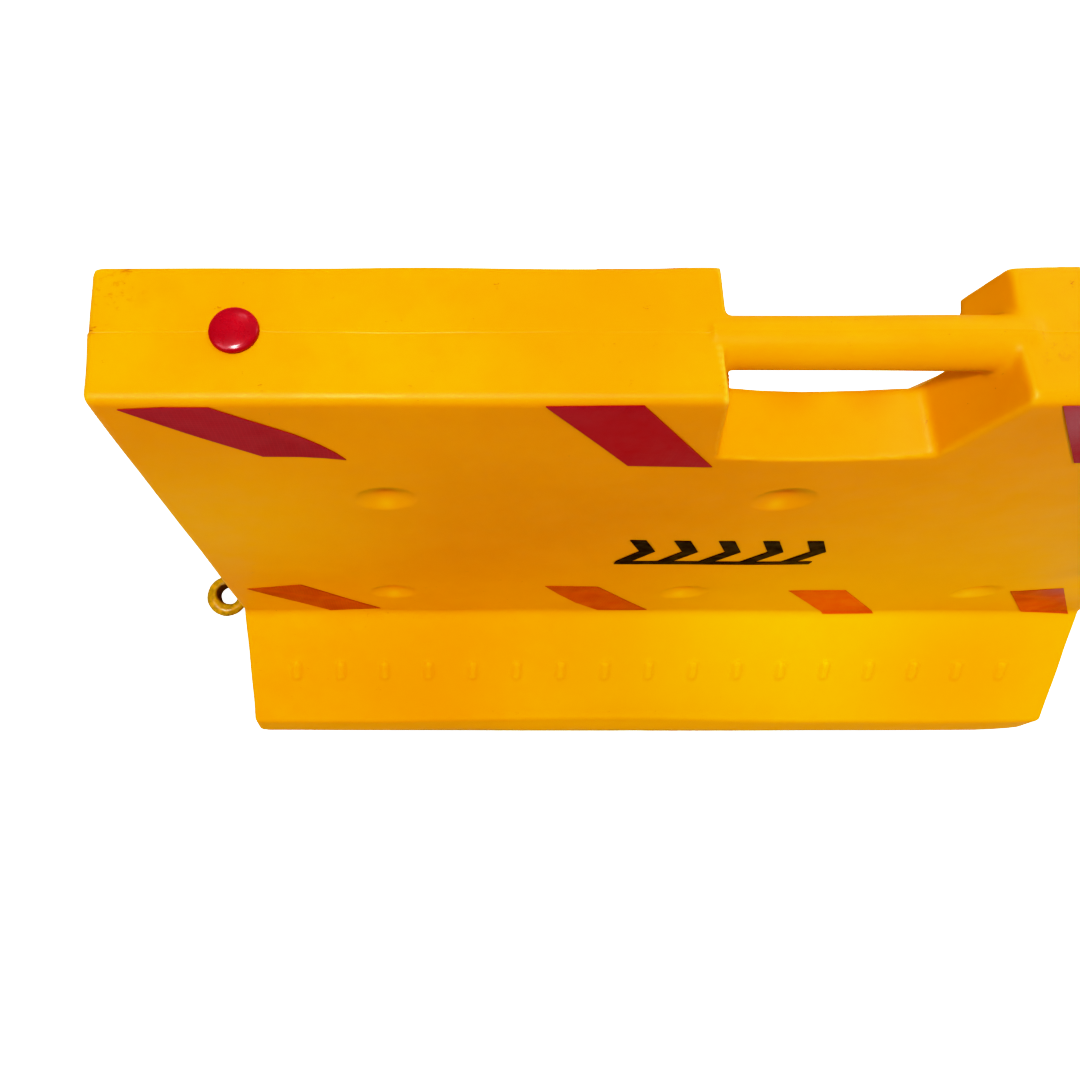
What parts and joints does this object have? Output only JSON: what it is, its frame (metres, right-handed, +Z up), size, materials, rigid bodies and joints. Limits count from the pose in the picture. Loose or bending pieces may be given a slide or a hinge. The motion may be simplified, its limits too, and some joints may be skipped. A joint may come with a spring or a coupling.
{
  "type": "road safety barrier",
  "caption": "Hollow moulded water-fillable road barrier with sloping toe, moulded carrying handle, filler and drain plugs, reflective strips and coupling eyes at both ends.",
  "frame": {"origin": "centre of the footprint, at ground level", "axes": "+Z up; +X along the barrier, towards the end with the higher eye; the front face looks along -Y"},
  "size_m": [1.164, 0.3682, 0.7585],
  "materials": {
    "yellow_shell": "semi-gloss moulded polyethylene, slightly wavy",
    "red_plug": "glossy",
    "seal_rubber": "matt",
    "yellow_steel": "worn yellow paint over steel",
    "insert_brass": "turned",
    "plated_steel": "zinc plated",
    "red_tape": "retroreflective",
    "orange_tape": "retroreflective",
    "black_print": "printed"
  },
  "bodies": {
    "shell": {"barrier_body": "yellow_shell", "left_threaded_insert": "insert_brass", "right_threaded_insert": "insert_brass", "front_upper_tape_1": "red_tape", "front_upper_tape_2": "red_tape", "front_upper_tape_3": "red_tape", "front_upper_tape_4": "red_tape", "front_lower_tape_1": "orange_tape", "front_lower_tape_2": "orange_tape", "front_lower_tape_3": "orange_tape", "front_lower_tape_4": "orange_tape", "back_upper_tape_1": "red_tape", "back_upper_tape_2": "red_tape", "back_upper_tape_3": "red_tape", "back_upper_tape_4": "red_tape", "back_lower_tape_1": "orange_tape", "back_lower_tape_2": "orange_tape", "back_lower_tape_3": "orange_tape", "back_lower_tape_4": "orange_tape", "front_chevron_mark": "black_print", "back_chevron_mark": "black_print"},
    "fill_plug": {"fill_plug": "red_plug", "fill_plug_seal": "seal_rubber"},
    "drain_plug": {"drain_plug": "red_plug", "drain_plug_seal": "seal_rubber"},
    "left_eye": {"left_eye_bolt": "yellow_steel", "left_jam_nut": "plated_steel", "left_eye_washer": "plated_steel"},
    "right_eye": {"right_eye_bolt": "yellow_steel", "right_jam_nut": "plated_steel", "right_eye_washer": "plated_steel"}
  },
  "joints": [
    {"name": "fill_plug_pull", "type": "slide", "parent": "shell", "child": "fill_plug", "axis": [0, 0, 1], "range_m": [0, 0.06]},
    {"name": "drain_plug_pull", "type": "slide", "parent": "shell", "child": "drain_plug", "axis": [1, 0, 0], "range_m": [0, 0.06]},
    {"name": "left_eye_turn", "type": "hinge", "parent": "shell", "child": "left_eye", "pos_m": [-0.5, 0, 0.048], "axis": [-1, 0, 0], "range_deg": [-180, 180]},
    {"name": "right_eye_turn", "type": "hinge", "parent": "shell", "child": "right_eye", "pos_m": [0.5, 0, 0.068], "axis": [1, 0, 0], "range_deg": [-180, 180]}
  ]
}
